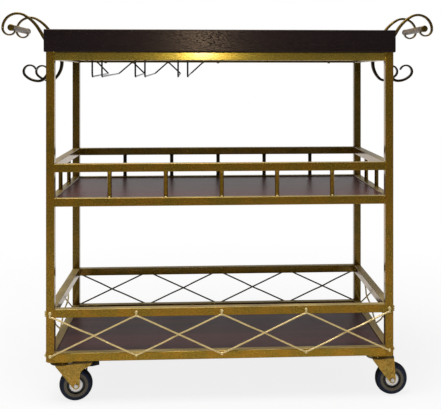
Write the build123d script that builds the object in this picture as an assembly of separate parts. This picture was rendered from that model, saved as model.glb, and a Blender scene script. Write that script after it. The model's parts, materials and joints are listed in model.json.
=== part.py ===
from build123d import *
import math
import os

# A rolling bar cart: a welded frame of square tube with two shelves, a wooden tray on
# top, scroll handles at both ends, a rack for stemware and four swivel casters.
# Lengths are in millimetres and angles in degrees. +Z is up, the floor is at zero, the
# front faces -Y and the cart's middle stands over the origin.

os.makedirs("parts", exist_ok=True)

# The frame
cart_width = 800.0
cart_depth = 400.0
tube_size = 19.0
tube_wall = 1.5
tube_corner = 1.5

# From the underside of the lower rail to the underside of each rail above it
lower_guard_rise = 100.0
middle_rail_rise = 353.0
middle_guard_rise = 431.4
top_rail_rise = 686.3

# The round uprights between the middle rail and its guard
baluster_diameter = 10.0
long_baluster_count = 5
short_baluster_count = 2

# The crossed rods on the outer faces of the lower gallery
lattice_diameter = 4.0
long_lattice_bays = 4
short_lattice_bays = 2
lattice_top_lift = 3.5
lattice_foot_lift = 12.5
stud_diameter = 8.0
stud_proud = 5.0
stud_drop_to_top = 8.3
stud_neck_diameter = 4.6
stud_sink = 0.4

# The shelf boards and what carries them
board_thickness = 12.0
board_drop = 3.0
board_gap = 0.5
tab_length = 30.0
tab_reach = 22.0
tab_thickness = 2.0
long_tab_shares = (-0.36, 0.0, 0.36)
screw_diameter = 3.5
screw_head_diameter = 7.0
screw_head_height = 2.0
shelf_screw_bite = 8.0

# The tray
tray_height = 52.0
tray_overhang = 4.8
rim_thickness = 15.0
tray_base_thickness = 10.0
rim_corner = 3.5
rim_top_round = 2.0
rim_bottom_round = 3.0
tray_screw_shares = (-0.3875, 0.0, 0.3875)
tray_screw_bite = 6.0
tray_screw_inset = 5.0

# The scroll handles
scroll_spread = 150.0
scroll_width = 12.0
scroll_belly_thickness = 7.0
scroll_tip_thickness = 3.0
scroll_spacer = 6.0
scroll_spacer_height = 12.0
scroll_height_on_rail = 9.7
scroll_reach = 127.3
station_turn = 12.0
station_run_share = 0.12

# Each half of a scroll starts at the belly. A pair is a radius, as a share of the
# reach, and the turn of its arc. A turn of zero marks a straight run of that share.
upper_scroll_shares = (
    (0.520, 30.7), (0.313, 0.0), (0.760, 29.3), (0.280, 120.0), (0.133, 90.0), (0.114, 80.0)
)
lower_scroll_shares = (
    (0.090, 0.0), (0.459, 45.0), (0.156, 45.0), (0.347, 45.0), (0.119, 45.0), (0.119, 90.0),
    (0.119, 76.0)
)

# The grip between the upper curls
grip_diameter = 15.0
grip_wall = 1.5
grip_length = 190.0
grip_out_share = 0.8083
grip_rise_share = 0.556
cap_thickness = 3.0
cap_flange = 0.6
cap_plug = 8.0

# The stemware rack
rack_wire_diameter = 3.5
rack_slot_count = 3
rack_first_slot = 285.5
rack_pitch = 98.0
rack_front_half_gap = 11.0
rack_rear_half_gap = 14.0
rack_drop = 37.3
rack_rear_rise = 7.0
rack_front_inset = 1.5
rack_rear_run = 27.0
rack_bend = 8.0
rack_overrun = 5.0

# The casters
swivel_inset = 31.0
wheel_diameter = 76.0
wheel_trail = 32.0
fork_top_rise = 52.0
fork_sheet = 2.5
fork_inner_half = 14.0
fork_disc_radius = 27.0
fork_nose_radius = 8.0
fork_back_reach = 46.5
fork_back_drop = 4.5
fork_front_reach = 4.0
caster_rest_turns = {
    "front_left": 8.0, "front_right": 0.0, "rear_left": 0.0, "rear_right": 0.0
}
braked_casters = ("front_left", "rear_left")

# The turntable between the plate and the fork
plate_size = 58.0
plate_thickness = 2.5
plate_corner = 5.0
race_height = 6.0
race_gap = 0.3
race_radius = 17.5
race_groove_radius = 13.5
ball_diameter = 3.2
ball_count = 12
kingpin_diameter = 10.0
kingpin_head_diameter = 16.0
kingpin_head_height = 3.5
running_fit = 0.05
running_gap = 0.3

# The caster's bolts
bolt_diameter = 6.0
bolt_head_width = 10.0
bolt_head_height = 4.0
bolt_nut_height = 4.0

# The wheel and tyre
axle_diameter = 6.0
axle_head_width = 10.0
axle_head_height = 3.5
hub_boss_radius = 7.0
hub_radius = 16.5
hub_half_width = 11.5
rim_groove_half_width = 8.5
core_radius = 19.5
tyre_seat_half_width = 11.0
tyre_wall_half_width = 12.8
tyre_wall_radius = 28.0
tyre_shoulder_radius = 34.0
tyre_shoulder_half_width = 11.4

# The brake: a wing on the fork, a pin across it and a pedal with a shoe
wing_arc_x = 26.0
wing_arc_z = 22.5
wing_arc_radius = 17.3
wing_arc_end_turn = 80.0
wing_knee_x = 31.2
wing_knee_z = 44.8
wing_tip_x = 38.3
pedal_pin_x = 24.0
pedal_pin_z = 44.5
pedal_pin_diameter = 4.0
pedal_pin_head_diameter = 7.0
pedal_pin_head_height = 1.2
pedal_half_width = 13.2
pedal_hub_radius = 4.6
pedal_shoe_length = 12.0
pedal_shoe_thickness = 4.0
pedal_tip_x = 53.0
pedal_tip_top_z = 51.0
pedal_tip_thickness = 7.0
pedal_arm_thickness = 5.5

# One long cut that reaches past whatever it is taken from
cut_overrun = 5.0

# Heights and places that follow from the values above
wheel_radius = wheel_diameter / 2
axle_height = wheel_radius
fork_underside = axle_height + fork_top_rise
fork_top = fork_underside + fork_sheet
plate_underside = fork_top + race_height
lower_rail_height = plate_underside + plate_thickness
lower_guard_height = lower_rail_height + lower_guard_rise
middle_rail_height = lower_rail_height + middle_rail_rise
middle_guard_height = lower_rail_height + middle_guard_rise
top_rail_height = lower_rail_height + top_rail_rise
leg_top = top_rail_height + tube_size

half_width = cart_width / 2
half_depth = cart_depth / 2
leg_x = half_width - tube_size / 2
leg_y = half_depth - tube_size / 2
inner_x = half_width - tube_size
inner_y = half_depth - tube_size
fork_outer_half = fork_inner_half + fork_sheet
swivel_x = half_width - swivel_inset
swivel_y = half_depth - swivel_inset

rail_heights = {
    "lower_rail": lower_rail_height,
    "lower_guard": lower_guard_height,
    "middle_rail": middle_rail_height,
    "middle_guard": middle_guard_height,
    "top_rail": top_rail_height,
}
corners = {
    "front_left": (-1, -1), "front_right": (1, -1), "rear_left": (-1, 1), "rear_right": (1, 1)
}

nodes = {}


def keep(name, *solids):
    """Hold the solids of one node until they are written."""
    nodes[name] = list(solids)


def tube(length):
    """A square tube that stands on the origin."""
    bore = tube_size - 2 * tube_wall
    section = RectangleRounded(tube_size, tube_size, tube_corner) - Rectangle(bore, bore)
    return extrude(section, length)


def tube_along_x(length, y, z):
    return Pos(-length / 2, y, z) * Rot(0, 90, 0) * tube(length)


def tube_along_y(length, x, z):
    return Pos(x, -length / 2, z) * Rot(-90, 0, 0) * tube(length)


def rod(start, end, radius):
    """A round bar from one point to another."""
    axis = Vector(*end) - Vector(*start)
    return Plane(origin=start, z_dir=axis) * extrude(Circle(radius), axis.length)


def upright(x, y, z, height, radius):
    """A round bar that stands at a point."""
    return Pos(x, y, z) * extrude(Circle(radius), height)


def block(low, high):
    """A box between two corners."""
    size = [b - a for a, b in zip(low, high)]
    middle = [(a + b) / 2 for a, b in zip(low, high)]
    return Pos(*middle) * Box(*size)


def hexagon(x, y, z, width, height):
    """A hexagon bar that stands at a point, with its width across the flats."""
    return Pos(x, y, z) * extrude(RegularPolygon(width / 2, 6, major_radius=False), height)


def less(solid, cutters):
    for cutter in cutters:
        solid = solid - cutter
    return solid


def single(shape):
    """The one solid of a shape that a cut has left as a list."""
    return shape.solids().sort_by(SortBy.VOLUME)[-1]


# Screws stand with the underside of the head at a height and point upwards.
def screw(x, y, z, length):
    head = upright(x, y, z - screw_head_height, screw_head_height, screw_head_diameter / 2)
    head = fillet(head.edges().group_by(Axis.Z)[0], screw_head_height / 4)
    return head + upright(x, y, z, length, screw_diameter / 2)


# The screws that hold the tray to the front and rear top rails
tray_screws = [
    screw(share * cart_width, side * (inner_y + tray_screw_inset), top_rail_height,
          tube_size + tray_screw_bite)
    for share in tray_screw_shares
    for side in (-1, 1)
]
keep("tray_screws", *tray_screws)

# Bolts through each swivel plate into the two lower rails that meet over it
bolt_places = []
for side_x, side_y in corners.values():
    bolt_places.append((side_x * leg_x, side_y * (2 * swivel_y - leg_y)))
    bolt_places.append((side_x * (2 * swivel_x - leg_x), side_y * leg_y))


def caster_bolt(x, y):
    head = hexagon(x, y, plate_underside - bolt_head_height, bolt_head_width, bolt_head_height)
    grip = plate_thickness + tube_wall + bolt_nut_height
    return head + upright(x, y, plate_underside, grip, bolt_diameter / 2)


def caster_nut(x, y):
    seat = lower_rail_height + tube_wall
    nut = hexagon(x, y, seat, bolt_head_width, bolt_nut_height)
    return nut - upright(x, y, seat - cut_overrun, 2 * cut_overrun + bolt_nut_height,
                         bolt_diameter / 2)


caster_bolts = [caster_bolt(x, y) for x, y in bolt_places]
caster_nuts = [caster_nut(x, y) for x, y in bolt_places]
keep("caster_bolts", *caster_bolts, *caster_nuts)

# Legs and rails: the rails butt against the legs
for name, (side_x, side_y) in corners.items():
    leg = tube(leg_top - lower_rail_height)
    keep("leg_" + name, Pos(side_x * leg_x, side_y * leg_y, lower_rail_height) * leg)

for name, height in rail_heights.items():
    middle = height + tube_size / 2
    for place, side in (("front", -1), ("rear", 1)):
        rail = tube_along_x(2 * inner_x, side * leg_y, middle)
        if name == "top_rail":
            rail = less(rail, tray_screws)
        if name == "lower_rail":
            rail = less(rail, caster_bolts)
        keep(name + "_" + place, single(rail))
    side_rails = [tube_along_y(2 * inner_y, side * leg_x, middle) for side in (-1, 1)]
    if name == "lower_rail":
        side_rails = [single(less(rail, caster_bolts)) for rail in side_rails]
    keep(name + "_sides", *side_rails)


# The middle gallery
def even_places(count, clear, diameter):
    """Centres of round bars that leave equal gaps between themselves and both ends."""
    pitch = (clear - count * diameter) / (count + 1) + diameter
    return [(index - (count - 1) / 2) * pitch for index in range(count)]


baluster_foot = middle_rail_height + tube_size
baluster_height = middle_guard_height - baluster_foot
balusters = []
for x in even_places(long_baluster_count, 2 * inner_x, baluster_diameter):
    for side in (-1, 1):
        balusters.append(upright(x, side * leg_y, baluster_foot, baluster_height,
                                 baluster_diameter / 2))
for y in even_places(short_baluster_count, 2 * inner_y, baluster_diameter):
    for side in (-1, 1):
        balusters.append(upright(side * leg_x, y, baluster_foot, baluster_height,
                                 baluster_diameter / 2))
keep("balusters", *balusters)

# The lower gallery's lattice lies on the outer faces of the rails. In each bay two rods
# cross, and their four halves meet in mitres where they do.
lattice_top = lower_guard_height + lattice_top_lift
lattice_foot = lower_rail_height + lattice_foot_lift
lattice_radius = lattice_diameter / 2


def lattice_bay(left, right):
    """The half rods of one bay, drawn in the XZ plane with the wall of the cart at Y
    zero. Each fills one quarter of the bay, from the crossing to a corner."""
    middle_x = (left + right) / 2
    middle_z = (lattice_top + lattice_foot) / 2
    slope = (lattice_top - lattice_foot) / (right - left)
    halves = []
    for edge in (left, right):
        for corner_z, limit in ((lattice_top, leg_top), (lattice_foot, 0)):
            way = 1 if edge > middle_x else -1
            rise = 1 if corner_z > middle_z else -1
            past_x = way * lattice_diameter
            past_z = rise * slope * lattice_diameter
            half = rod((middle_x - past_x, -lattice_radius, middle_z - past_z),
                       (edge + past_x, -lattice_radius, corner_z + past_z), lattice_radius)
            low = (min(middle_x, edge), -lattice_diameter, min(middle_z, limit))
            high = (max(middle_x, edge), 0, max(middle_z, limit))
            halves.append(single(half & block(low, high)))
    return halves


def stud(x, peak):
    """A round-headed stud in the XZ plane. Over a peak of the lattice it sits on the
    rail, with a short neck down to the rods, and at a foot it sits on the rods."""
    on_top = peak is not None
    head_z = lower_guard_height + tube_size - stud_drop_to_top if on_top else lattice_foot
    seat = 0 if on_top else -lattice_diameter
    radius = stud_diameter / 2
    space = block((x - stud_diameter, -2 * stud_proud, 0), (x + stud_diameter, seat, leg_top))
    head = single(Pos(x, -stud_proud + radius, head_z) * Sphere(radius) & space)
    if not on_top:
        return head
    neck_radius = stud_neck_diameter / 2
    neck = rod((x, stud_sink - neck_radius, peak), (x, stud_sink - neck_radius, head_z),
               neck_radius)
    return single(head + single(neck & space))


def lattice_wall(half_span, bays):
    """The rods and studs of one wall."""
    pitch = 2 * half_span / bays
    edges = [-half_span + index * pitch for index in range(bays + 1)]
    rods = []
    for left, right in zip(edges, edges[1:]):
        rods += lattice_bay(left, right)
    peak = lattice_top + lattice_radius * math.hypot(pitch, lattice_top - lattice_foot) / pitch
    studs = [stud(x, peak) for x in edges] + [stud(x, None) for x in edges]
    return rods, studs


def turned(shapes, x, y, angle):
    return [Pos(x, y, 0) * Rot(0, 0, angle) * shape for shape in shapes]


long_rods, long_studs = lattice_wall(leg_x, long_lattice_bays)
short_rods, short_studs = lattice_wall(leg_y, short_lattice_bays)
keep("lattice_long", *turned(long_rods, 0, -half_depth, 0), *turned(long_rods, 0, half_depth, 180))
keep("lattice_short", *turned(short_rods, half_width, 0, 90),
     *turned(short_rods, -half_width, 0, -90))
keep("lattice_studs",
     *turned(long_studs, 0, -half_depth, 0), *turned(long_studs, 0, half_depth, 180),
     *turned(short_studs, half_width, 0, 90), *turned(short_studs, -half_width, 0, -90))

# Shelf boards on tabs, each tab with a screw from below
tabs = []
shelf_screws = []


def shelf(rail_height):
    """One board with its tabs and screws."""
    top = rail_height + tube_size - board_drop
    underside = top - board_thickness
    long_y = inner_y - tab_reach / 2
    short_x = inner_x - tab_reach / 2
    places = [(share * cart_width, side * long_y, tab_length, tab_reach)
              for share in long_tab_shares for side in (-1, 1)]
    places += [(side * short_x, 0, tab_reach, tab_length) for side in (-1, 1)]
    screws = []
    for x, y, size_x, size_y in places:
        plate = Pos(x, y, underside - tab_thickness / 2) * Box(size_x, size_y, tab_thickness)
        fixing = screw(x, y, underside - tab_thickness, tab_thickness + shelf_screw_bite)
        tabs.append(single(plate - fixing))
        screws.append(fixing)
    reach_x = inner_x - board_gap
    reach_y = inner_y - board_gap
    board = block((-reach_x, -reach_y, underside), (reach_x, reach_y, top))
    shelf_screws.extend(screws)
    return single(less(board, screws))


keep("middle_shelf_board", shelf(middle_rail_height))
keep("lower_shelf_board", shelf(lower_rail_height))
keep("shelf_tabs", *tabs)
keep("shelf_screws", *shelf_screws)

# The tray: four mitred rims round a base
rim_x = half_width + tray_overhang
rim_y = half_depth + tray_overhang
rim_inner_x = rim_x - rim_thickness
rim_inner_y = rim_y - rim_thickness

tray_ring = extrude(RectangleRounded(2 * rim_x, 2 * rim_y, rim_corner), tray_height)
tray_ring = fillet(tray_ring.edges().group_by(Axis.Z)[-1], rim_top_round)
tray_ring = fillet(tray_ring.edges().group_by(Axis.Z)[0], rim_bottom_round)
tray_ring = tray_ring - block((-rim_inner_x, -rim_inner_y, -cut_overrun),
                              (rim_inner_x, rim_inner_y, tray_height + cut_overrun))


def mitre_wedge(reach_x, reach_y, side):
    """The space of one long rim, between the two mitres at its ends."""
    run = rim_thickness + cut_overrun
    outline = Polyline(
        (-reach_x - cut_overrun, side * (reach_y + cut_overrun)),
        (reach_x + cut_overrun, side * (reach_y + cut_overrun)),
        (reach_x + cut_overrun - run - cut_overrun, side * (reach_y - run)),
        (-reach_x - cut_overrun + run + cut_overrun, side * (reach_y - run)),
        close=True,
    )
    wedge = extrude(make_face(outline), tray_height + 2 * cut_overrun)
    return Pos(0, 0, -cut_overrun) * wedge


front_wedge = mitre_wedge(rim_x, rim_y, -1)
rear_wedge = mitre_wedge(rim_x, rim_y, 1)
tray_rims = [tray_ring & front_wedge, tray_ring & rear_wedge]
tray_rims += list((tray_ring - front_wedge - rear_wedge).solids())
keep("tray_rims", *[Pos(0, 0, leg_top) * single(rim) for rim in tray_rims])

tray_base = block((-rim_inner_x, -rim_inner_y, leg_top),
                  (rim_inner_x, rim_inner_y, leg_top + tray_base_thickness))
keep("tray_base", single(less(tray_base, tray_screws)))


# The scrolls: a chain of arcs from the belly to each tip
def scroll_stations(shares, start_z, sense):
    """Stations along one half: out from the leg, height, heading from the vertical
    and length so far. A share's arc is walked in equal steps."""
    out = scroll_spacer + scroll_belly_thickness / 2
    z = start_z
    heading = 0.0
    length = 0.0
    stations = [(out, z, heading, length)]
    for share, turn in shares:
        size = share * scroll_reach
        if turn == 0:
            steps = max(1, round(share / station_run_share))
        else:
            steps = math.ceil(turn / station_turn)
        for _ in range(steps):
            if turn == 0:
                run = size / steps
                out += run * math.sin(math.radians(heading))
                z += sense * run * math.cos(math.radians(heading))
            else:
                run = size * math.radians(turn / steps)
                new = heading + turn / steps
                out += size * (math.cos(math.radians(heading)) - math.cos(math.radians(new)))
                z += sense * size * (math.sin(math.radians(new)) - math.sin(math.radians(heading)))
                heading = new
            length += run
            stations.append((out, z, heading, length))
    return stations


def scroll_half(shares, start_z, sense):
    """One half as a tapered flat bar in the XZ plane, centred on Y zero."""
    stations = scroll_stations(shares, start_z, sense)
    whole = stations[-1][3]
    sides = {-1: [], 1: []}
    for out, z, heading, length in stations:
        share = length / whole
        half = (scroll_belly_thickness * (1 - share) + scroll_tip_thickness * share) / 2
        normal_out = math.cos(math.radians(heading))
        normal_z = -sense * math.sin(math.radians(heading))
        for side, points in sides.items():
            points.append((out + side * half * normal_out, z + side * half * normal_z))
    end = math.radians(stations[-1][2])
    way = (math.sin(end), sense * math.cos(end))
    edges = [Spline(*points, tangents=[(0, sense), way]) for points in sides.values()]
    edges.append(Line(sides[-1][0], sides[1][0]))
    edges.append(Line(sides[-1][-1], sides[1][-1]))
    face = Plane.XZ * make_face(edges)
    return Pos(0, -scroll_width / 2, 0) * extrude(face, scroll_width, dir=(0, 1, 0))


scroll_belly_z = top_rail_height + scroll_height_on_rail
grip_out = grip_out_share * scroll_reach
grip_z = scroll_belly_z + grip_rise_share * scroll_reach

scroll = scroll_half(upper_scroll_shares, scroll_belly_z, 1)
scroll = scroll + scroll_half(lower_scroll_shares, scroll_belly_z, -1)
spacer = block((0, -scroll_width / 2, scroll_belly_z - scroll_spacer_height / 2),
               (scroll_spacer + scroll_tip_thickness, scroll_width / 2,
                scroll_belly_z + scroll_spacer_height / 2))
grip_space = rod((grip_out, -scroll_width, grip_z), (grip_out, scroll_width, grip_z),
                 grip_diameter / 2)
scroll = single(scroll + spacer - grip_space)

grip_half = grip_length / 2
grip = rod((grip_out, -grip_half, grip_z), (grip_out, grip_half, grip_z), grip_diameter / 2)
grip_bore = grip_diameter / 2 - grip_wall
grip = single(grip - rod((grip_out, -grip_length, grip_z), (grip_out, grip_length, grip_z),
                         grip_bore))


def grip_cap(side):
    """A domed end cap with a plug that fills the tube's bore."""
    end = side * grip_half
    dome = rod((grip_out, end, grip_z), (grip_out, end + side * cap_thickness, grip_z),
               grip_diameter / 2 + cap_flange)
    rim = dome.edges().sort_by(Axis.Y)
    dome = fillet(rim[-1] if side > 0 else rim[0], cap_thickness / 2)
    plug = rod((grip_out, end, grip_z), (grip_out, end - side * cap_plug, grip_z), grip_bore)
    return single(dome + plug)


caps = []
for name, side, angle in (("right", 1, 0), ("left", -1, 180)):
    ends = turned([scroll], side * half_width, -scroll_spread / 2, angle)
    ends += turned([scroll], side * half_width, scroll_spread / 2, angle)
    keep("handle_scrolls_" + name, *ends)
    keep("handle_grip_" + name, *turned([grip], side * half_width, 0, angle))
    caps += turned([grip_cap(-1), grip_cap(1)], side * half_width, 0, angle)
keep("handle_caps", *caps)


# The stemware rack: a pair of wires for each slot
def rack_wire(centre, side):
    """One wire: a drop from the front rail, a long run and a splayed end to the rear."""
    rear_half_gap = rack_pitch / 2 - rack_wire_diameter / 2 - running_gap
    front_y = -leg_y - rack_front_inset
    run_z = top_rail_height - rack_drop
    low = (centre + side * rack_front_half_gap, front_y, run_z)
    knee = (centre + side * rack_rear_half_gap, leg_y - rack_rear_run, run_z + rack_rear_rise)
    rear = (centre + side * rear_half_gap, leg_y, top_rail_height)
    stretch = rack_overrun / (rear[2] - knee[2])
    past = tuple(b + (b - a) * stretch for a, b in zip(knee, rear))
    route = FilletPolyline((low[0], front_y, top_rail_height + rack_overrun), low, knee, past,
                           radius=rack_bend)
    section = Plane(origin=route @ 0, z_dir=route % 0) * Circle(rack_wire_diameter / 2)
    wire = sweep(section, path=route)
    above = block((centre - rack_pitch, -cart_depth, top_rail_height),
                  (centre + rack_pitch, cart_depth, top_rail_height + 2 * tube_size))
    return single(wire - above)


rack_wires = [
    rack_wire(-rack_first_slot + index * rack_pitch, side)
    for index in range(rack_slot_count)
    for side in (-1, 1)
]
keep("stemware_rack", *rack_wires)


# The casters. Each is drawn with its swivel axis over the origin and its wheel towards
# +X, and is then turned to its rest angle and set in its corner.
def ring(inner, outer, z, height):
    return Pos(0, 0, z) * extrude(Circle(outer) - Circle(inner), height)


def across(x, z, low_y, high_y, radius):
    return rod((x, low_y, z), (x, high_y, z), radius)


def swivel_plate():
    """The fixed plate with its raised ball race."""
    plate = extrude(RectangleRounded(plate_size, plate_size, plate_corner), plate_thickness)
    plate = Pos(0, 0, plate_underside) * plate
    race = ring(kingpin_diameter / 2, race_radius, fork_top + race_gap, race_height - race_gap)
    plate = plate + race - upright(0, 0, fork_top, lower_rail_height, kingpin_diameter / 2)
    groove = Pos(0, 0, ball_height) * Torus(race_groove_radius, ball_diameter / 2)
    return single(plate - groove)


def kingpin():
    """The rivet that the fork turns on: shank to the plate's top, head under the fork."""
    foot = fork_underside - running_gap
    shank = upright(0, 0, foot, lower_rail_height - foot, kingpin_diameter / 2)
    head = upright(0, 0, foot - kingpin_head_height, kingpin_head_height,
                   kingpin_head_diameter / 2)
    head = fillet(head.edges().group_by(Axis.Z)[0], kingpin_head_height / 2)
    return shank + head


ball_height = fork_top + race_gap / 2


def balls():
    places = PolarLocations(race_groove_radius, ball_count)
    return [Pos(0, 0, ball_height) * place * Sphere(ball_diameter / 2) for place in places]


def fork_outline(braked):
    """The side plate's outline about the axle: a nose round the bolt, a slanted back
    edge and an upright front edge, which spreads into a wing where there is a brake."""
    nose = fork_nose_radius
    back = (-fork_back_reach, fork_top_rise - fork_back_drop)
    distance = math.hypot(*back)
    toward = math.atan2(back[1], back[0])
    touch = toward + math.acos(nose / distance)
    start = (nose * math.cos(touch), nose * math.sin(touch))
    middle_turn = (touch + 2 * math.pi) / 2
    low = (nose * math.cos(middle_turn), nose * math.sin(middle_turn))
    edges = [
        ThreePointArc(start, low, (nose, 0)),
        Line(start, back),
        Line(back, (-fork_back_reach, fork_top_rise)),
    ]
    if braked:
        end = math.radians(90 + (90 - wing_arc_end_turn))
        half = (math.pi + end) / 2
        foot = (wing_arc_x - wing_arc_radius, wing_arc_z)
        mid = (wing_arc_x + wing_arc_radius * math.cos(half),
               wing_arc_z + wing_arc_radius * math.sin(half))
        top = (wing_arc_x + wing_arc_radius * math.cos(end),
               wing_arc_z + wing_arc_radius * math.sin(end))
        edges += [
            Line((nose, 0), foot),
            ThreePointArc(foot, mid, top),
            Line(top, (wing_knee_x, wing_knee_z)),
            Line((wing_knee_x, wing_knee_z), (wing_tip_x, fork_top_rise)),
            Line((wing_tip_x, fork_top_rise), (-fork_back_reach, fork_top_rise)),
        ]
    else:
        edges += [
            Line((nose, 0), (fork_front_reach, fork_top_rise)),
            Line((fork_front_reach, fork_top_rise), (-fork_back_reach, fork_top_rise)),
        ]
    return make_face(edges)


def fork(braked):
    """Two side plates under a round flange, pressed from one sheet."""
    face = Plane.XZ * fork_outline(braked)
    plate = extrude(face, fork_sheet, dir=(0, 1, 0))
    front = wing_tip_x if braked else fork_front_reach
    flange = Pos(0, 0, fork_underside) * extrude(Circle(fork_disc_radius), fork_sheet)
    flange = flange + block(
        (wheel_trail - fork_back_reach, -fork_outer_half, fork_underside),
        (wheel_trail + front, fork_outer_half, fork_top))
    body = flange
    for low in (-fork_outer_half, fork_inner_half):
        body = body + Pos(wheel_trail, low, axle_height) * plate
    body = body - upright(0, 0, axle_height, plate_underside, kingpin_diameter / 2 + running_fit)
    body = body - across(wheel_trail, axle_height, -fork_disc_radius, fork_disc_radius,
                         axle_diameter / 2)
    groove_radius = ball_diameter / 2 + running_gap
    body = body - Pos(0, 0, ball_height) * Torus(race_groove_radius, groove_radius)
    if braked:
        body = body - across(wheel_trail + pedal_pin_x, axle_height + pedal_pin_z,
                             -fork_disc_radius, fork_disc_radius, pedal_pin_diameter / 2)
    return single(body)


def axle():
    """A bolt through the fork and the wheel, and its nut."""
    centre = (wheel_trail, axle_height)
    shank = across(*centre, -fork_outer_half, fork_outer_half + axle_head_height,
                   axle_diameter / 2)
    turned_hexagon = Pos(wheel_trail, 0, axle_height) * Rot(90, 0, 0)
    head = turned_hexagon * hexagon(0, 0, fork_outer_half, axle_head_width, axle_head_height)
    nut = Rot(0, 0, 180) * Pos(-2 * wheel_trail, 0, 0) * head
    nut = nut - across(*centre, 0, fork_disc_radius, axle_diameter / 2)
    return [shank + head, single(nut)]


def spun(profile):
    """A profile, drawn as radius and half width, turned about the axle."""
    whole = make_face(profile)
    return Pos(wheel_trail, 0, axle_height) * revolve(whole, Axis.Y)


def wheel():
    bore = axle_diameter / 2 + running_fit
    boss = fork_inner_half - running_gap
    upper = [
        (bore, boss), (hub_boss_radius, boss), (hub_boss_radius, hub_half_width),
        (hub_radius, hub_half_width), (hub_radius, rim_groove_half_width),
        (core_radius, rim_groove_half_width),
    ]
    lower = [(radius, -width) for radius, width in reversed(upper)]
    return spun(Polyline(*upper, *lower, close=True))


def tyre():
    seat = (core_radius, tyre_seat_half_width)
    wall = (tyre_wall_radius, tyre_wall_half_width)
    shoulder = (tyre_shoulder_radius, tyre_shoulder_half_width)
    flip = [(radius, -width) for radius, width in (seat, wall, shoulder)]
    profile = [
        ThreePointArc(seat, wall, shoulder),
        ThreePointArc(shoulder, (wheel_radius, 0), flip[2]),
        ThreePointArc(flip[2], flip[1], flip[0]),
        Line(flip[0], seat),
    ]
    return spun(profile)


def brake_pin():
    x = wheel_trail + pedal_pin_x
    z = axle_height + pedal_pin_z
    pin = across(x, z, -fork_outer_half, fork_outer_half, pedal_pin_diameter / 2)
    for side in (-1, 1):
        pin = pin + across(x, z, side * fork_outer_half,
                           side * (fork_outer_half + pedal_pin_head_height),
                           pedal_pin_head_diameter / 2)
    return pin


def brake_pedal():
    """A hub on the pin with a shoe hanging over the tyre and a foot plate in front."""
    tip_top = pedal_tip_top_z - pedal_pin_z
    tip_foot = tip_top - pedal_tip_thickness
    tip = pedal_tip_x - pedal_pin_x
    knee = wing_tip_x - pedal_pin_x
    arm_top = pedal_arm_thickness / 2
    face = Circle(pedal_hub_radius)
    face = face + Pos(0, -pedal_shoe_length / 2) * Rectangle(pedal_shoe_thickness,
                                                            pedal_shoe_length)
    arm = Polyline((0, arm_top), (knee, arm_top), (knee + tip_top, tip_top), (tip, tip_top),
                   (tip, tip_foot), (knee, -arm_top), (0, -arm_top), close=True)
    face = face + make_face(arm)
    face = face - Circle(pedal_pin_diameter / 2 + running_fit)
    body = extrude(Plane.XZ * face, 2 * pedal_half_width, dir=(0, 1, 0))
    body = Pos(wheel_trail + pedal_pin_x, -pedal_half_width, axle_height + pedal_pin_z) * body
    return single(body)


plates = []
kingpins = []
all_balls = []
for name, (side_x, side_y) in corners.items():
    spot = Pos(side_x * swivel_x, side_y * swivel_y, 0)
    place = spot * Rot(0, 0, caster_rest_turns[name])
    plates.append(single(less(spot * swivel_plate(), caster_bolts)))
    kingpins.append(spot * kingpin())
    all_balls += [spot * ball for ball in balls()]
    braked = name in braked_casters
    keep(name + "_fork", place * fork(braked))
    keep(name + "_axle", *[place * piece for piece in axle()])
    keep(name + "_wheel", place * wheel())
    keep(name + "_tyre", place * tyre())
    if braked:
        keep(name + "_brake_pin", place * brake_pin())
        keep(name + "_brake_pedal", place * brake_pedal())
keep("swivel_plates", *plates)
keep("kingpins", *kingpins)
keep("swivel_balls", *all_balls)

for name, solids in nodes.items():
    shape = solids[0] if len(solids) == 1 else Compound(solids)
    export_step(shape, "parts/" + name + ".step")
print(len(nodes), "nodes written")
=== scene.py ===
import json
import math

import bmesh
import bpy
import numpy as np
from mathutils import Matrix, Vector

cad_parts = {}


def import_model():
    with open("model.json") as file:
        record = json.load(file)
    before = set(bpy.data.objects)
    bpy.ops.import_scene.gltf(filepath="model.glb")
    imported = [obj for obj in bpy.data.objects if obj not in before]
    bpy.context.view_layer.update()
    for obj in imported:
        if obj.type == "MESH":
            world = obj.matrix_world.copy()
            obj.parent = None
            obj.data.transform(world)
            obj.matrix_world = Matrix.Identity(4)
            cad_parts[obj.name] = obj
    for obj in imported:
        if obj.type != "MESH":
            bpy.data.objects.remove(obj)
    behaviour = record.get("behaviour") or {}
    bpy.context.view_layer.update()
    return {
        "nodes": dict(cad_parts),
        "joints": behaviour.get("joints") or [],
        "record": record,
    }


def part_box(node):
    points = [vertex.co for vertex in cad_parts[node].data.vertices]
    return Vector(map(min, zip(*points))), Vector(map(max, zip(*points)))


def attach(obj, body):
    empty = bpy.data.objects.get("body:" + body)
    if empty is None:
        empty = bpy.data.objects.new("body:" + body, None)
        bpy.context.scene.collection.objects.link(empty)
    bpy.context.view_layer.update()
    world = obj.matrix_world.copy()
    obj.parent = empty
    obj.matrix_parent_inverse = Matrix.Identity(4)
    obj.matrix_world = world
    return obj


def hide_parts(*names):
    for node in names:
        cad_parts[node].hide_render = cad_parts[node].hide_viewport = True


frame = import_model()

# Sizes in metres. What the frame can tell is read from it.
BODY = "frame"
CORNERS = ("front_left", "front_right", "rear_left", "rear_right")
BRAKED = ("front_left", "rear_left")
JOINTS = {joint["name"]: joint for joint in frame["joints"]}

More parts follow.
